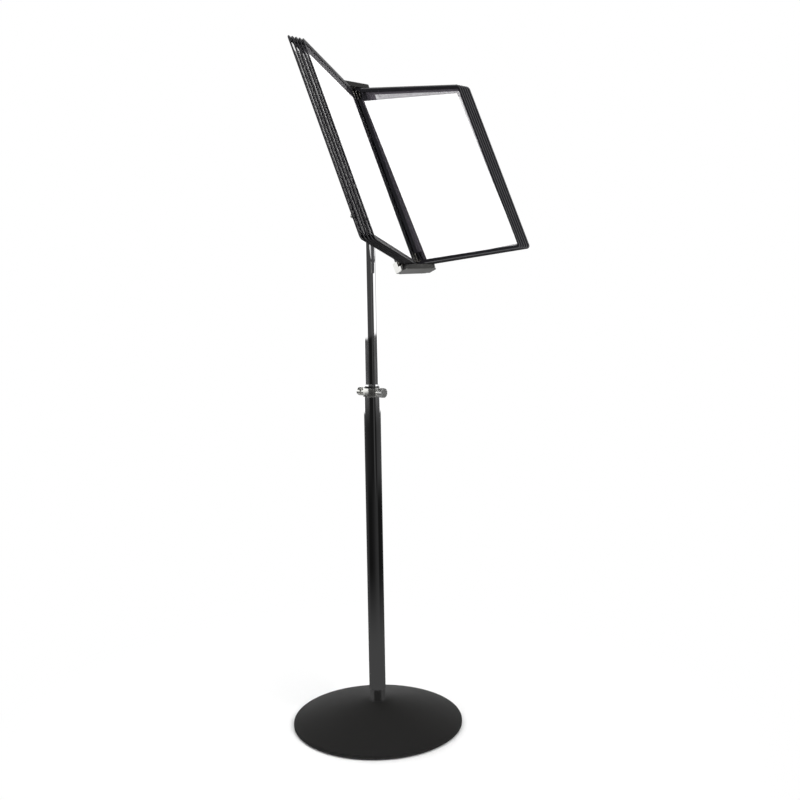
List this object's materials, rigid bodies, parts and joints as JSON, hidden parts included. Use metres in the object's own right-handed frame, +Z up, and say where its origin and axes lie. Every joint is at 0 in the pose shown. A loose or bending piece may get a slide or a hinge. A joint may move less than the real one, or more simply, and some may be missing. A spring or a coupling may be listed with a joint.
{
  "type": "display pocket stand",
  "caption": "Floor-standing flip display: a round weighted foot, a telescoping swivel mast and a tilting head with hinged A4 pocket pages.",
  "frame": {"origin": "centre of the foot's underside, on the floor", "axes": "+Z up along the mast; -Y towards the reader, so the pages open towards -Y; X across the head, parallel to the tilt axis"},
  "size_m": [0.5063, 0.341, 1.1515],
  "materials": {
    "rubber_pad": "matte",
    "cast_iron": "rough cast, painted black",
    "black_powder_coat": "satin powder coat",
    "zinc_steel": "bright zinc",
    "chrome_tube": "polished",
    "chrome_fitting": "polished",
    "dark_chrome": "smoked polished",
    "nylon": "matte",
    "black_steel": "satin black paint",
    "bracket_chrome": "satin polished",
    "page_border": "satin gloss",
    "clear_film": "clear soft film",
    "white_paper": "matte paper"
  },
  "bodies": {
    "stand": {"floor_pad": "rubber_pad", "base_weight": "cast_iron", "base_shell": "black_powder_coat", "base_fixings": "zinc_steel", "outer_tube": "chrome_tube", "mouth_bush": "chrome_tube", "clamp_collar": "chrome_fitting", "collar_cap_screw": "chrome_fitting"},
    "lock_knob": {"lock_knob": "dark_chrome"},
    "height_carriage": {"guide_bush": "nylon"},
    "mast": {"inner_tube": "chrome_tube", "tilt_barrel": "black_steel"},
    "head": {"spine_channel": "black_steel", "tilt_cheeks": "black_steel", "top_bracket": "bracket_chrome", "bottom_bracket": "bracket_chrome", "head_screws": "zinc_steel", "tilt_bolt": "chrome_fitting", "tilt_washers": "nylon"},
    "tilt_lever": {"tilt_lever": "dark_chrome"},
    "page_01": {"page_frame_01": "page_border", "page_sleeve_01": "clear_film", "page_sheet_01": "white_paper", "page_pins_01": "zinc_steel"},
    "page_02": {"page_frame_02": "page_border", "page_sleeve_02": "clear_film", "page_sheet_02": "white_paper", "page_pins_02": "zinc_steel"},
    "page_03": {"page_frame_03": "page_border", "page_sleeve_03": "clear_film", "page_sheet_03": "white_paper", "page_pins_03": "zinc_steel"},
    "page_04": {"page_frame_04": "page_border", "page_sleeve_04": "clear_film", "page_sheet_04": "white_paper", "page_pins_04": "zinc_steel"},
    "page_05": {"page_frame_05": "page_border", "page_sleeve_05": "clear_film", "page_sheet_05": "white_paper", "page_pins_05": "zinc_steel"},
    "page_06": {"page_frame_06": "page_border", "page_sleeve_06": "clear_film", "page_sheet_06": "white_paper", "page_pins_06": "zinc_steel"},
    "page_07": {"page_frame_07": "page_border", "page_sleeve_07": "clear_film", "page_sheet_07": "white_paper", "page_pins_07": "zinc_steel"},
    "page_08": {"page_frame_08": "page_border", "page_sleeve_08": "clear_film", "page_sheet_08": "white_paper", "page_pins_08": "zinc_steel"},
    "page_09": {"page_frame_09": "page_border", "page_sleeve_09": "clear_film", "page_sheet_09": "white_paper", "page_pins_09": "zinc_steel"},
    "page_10": {"page_frame_10": "page_border", "page_sleeve_10": "clear_film", "page_sheet_10": "white_paper", "page_pins_10": "zinc_steel"}
  },
  "joints": [
    {"name": "lock_turn", "type": "hinge", "parent": "stand", "child": "lock_knob", "pos_m": [0, -0.02, 0.5995], "axis": [0, -1, 0], "range_deg": [0, 360]},
    {"name": "height_slide", "type": "slide", "parent": "stand", "child": "height_carriage", "axis": [0, 0, 1], "range_m": [-0.1, 0.3]},
    {"name": "mast_swivel", "type": "hinge", "parent": "height_carriage", "child": "mast", "pos_m": [0, 0, 0.4], "axis": [0, 0, 1], "continuous": true},
    {"name": "head_tilt", "type": "hinge", "parent": "mast", "child": "head", "pos_m": [0, 0, 0.9], "axis": [1, 0, 0], "range_deg": [-36, 24]},
    {"name": "tilt_lever_turn", "type": "hinge", "parent": "head", "child": "tilt_lever", "pos_m": [-0.024, 0, 0.9], "axis": [1, 0, 0], "range_deg": [-60, 60]},
    {"name": "page_turn_01", "type": "hinge", "parent": "head", "child": "page_01", "pos_m": [-0.03465, -0.10265, 0.81697], "axis": [0, 0.4067, 0.9135], "range_deg": [0, 78]},
    {"name": "page_turn_02", "type": "hinge", "parent": "head", "child": "page_02", "pos_m": [-0.02695, -0.10265, 0.81697], "axis": [0, 0.4067, 0.9135], "range_deg": [0, 91]},
    {"name": "page_turn_03", "type": "hinge", "parent": "head", "child": "page_03", "pos_m": [-0.01925, -0.10265, 0.81697], "axis": [0, 0.4067, 0.9135], "range_deg": [0, 104]},
    {"name": "page_turn_04", "type": "hinge", "parent": "head", "child": "page_04", "pos_m": [-0.01155, -0.10265, 0.81697], "axis": [0, 0.4067, 0.9135], "range_deg": [0, 117]},
    {"name": "page_turn_05", "type": "hinge", "parent": "head", "child": "page_05", "pos_m": [-0.00385, -0.10265, 0.81697], "axis": [0, 0.4067, 0.9135], "range_deg": [0, 130]},
    {"name": "page_turn_06", "type": "hinge", "parent": "head", "child": "page_06", "pos_m": [0.00385, -0.10265, 0.81697], "axis": [0, 0.4067, 0.9135], "range_deg": [-130, 0]},
    {"name": "page_turn_07", "type": "hinge", "parent": "head", "child": "page_07", "pos_m": [0.01155, -0.10265, 0.81697], "axis": [0, 0.4067, 0.9135], "range_deg": [-117, 0]},
    {"name": "page_turn_08", "type": "hinge", "parent": "head", "child": "page_08", "pos_m": [0.01925, -0.10265, 0.81697], "axis": [0, 0.4067, 0.9135], "range_deg": [-104, 0]},
    {"name": "page_turn_09", "type": "hinge", "parent": "head", "child": "page_09", "pos_m": [0.02695, -0.10265, 0.81697], "axis": [0, 0.4067, 0.9135], "range_deg": [-91, 0]},
    {"name": "page_turn_10", "type": "hinge", "parent": "head", "child": "page_10", "pos_m": [0.03465, -0.10265, 0.81697], "axis": [0, 0.4067, 0.9135], "range_deg": [-78, 0]}
  ],
  "couplings": [
    {"joint": "page_turn_01", "follows": "page_turn_05", "ratio": 0.6},
    {"joint": "page_turn_02", "follows": "page_turn_05", "ratio": 0.7},
    {"joint": "page_turn_03", "follows": "page_turn_05", "ratio": 0.8},
    {"joint": "page_turn_04", "follows": "page_turn_05", "ratio": 0.9},
    {"joint": "page_turn_07", "follows": "page_turn_06", "ratio": 0.9},
    {"joint": "page_turn_08", "follows": "page_turn_06", "ratio": 0.8},
    {"joint": "page_turn_09", "follows": "page_turn_06", "ratio": 0.7},
    {"joint": "page_turn_10", "follows": "page_turn_06", "ratio": 0.6}
  ]
}
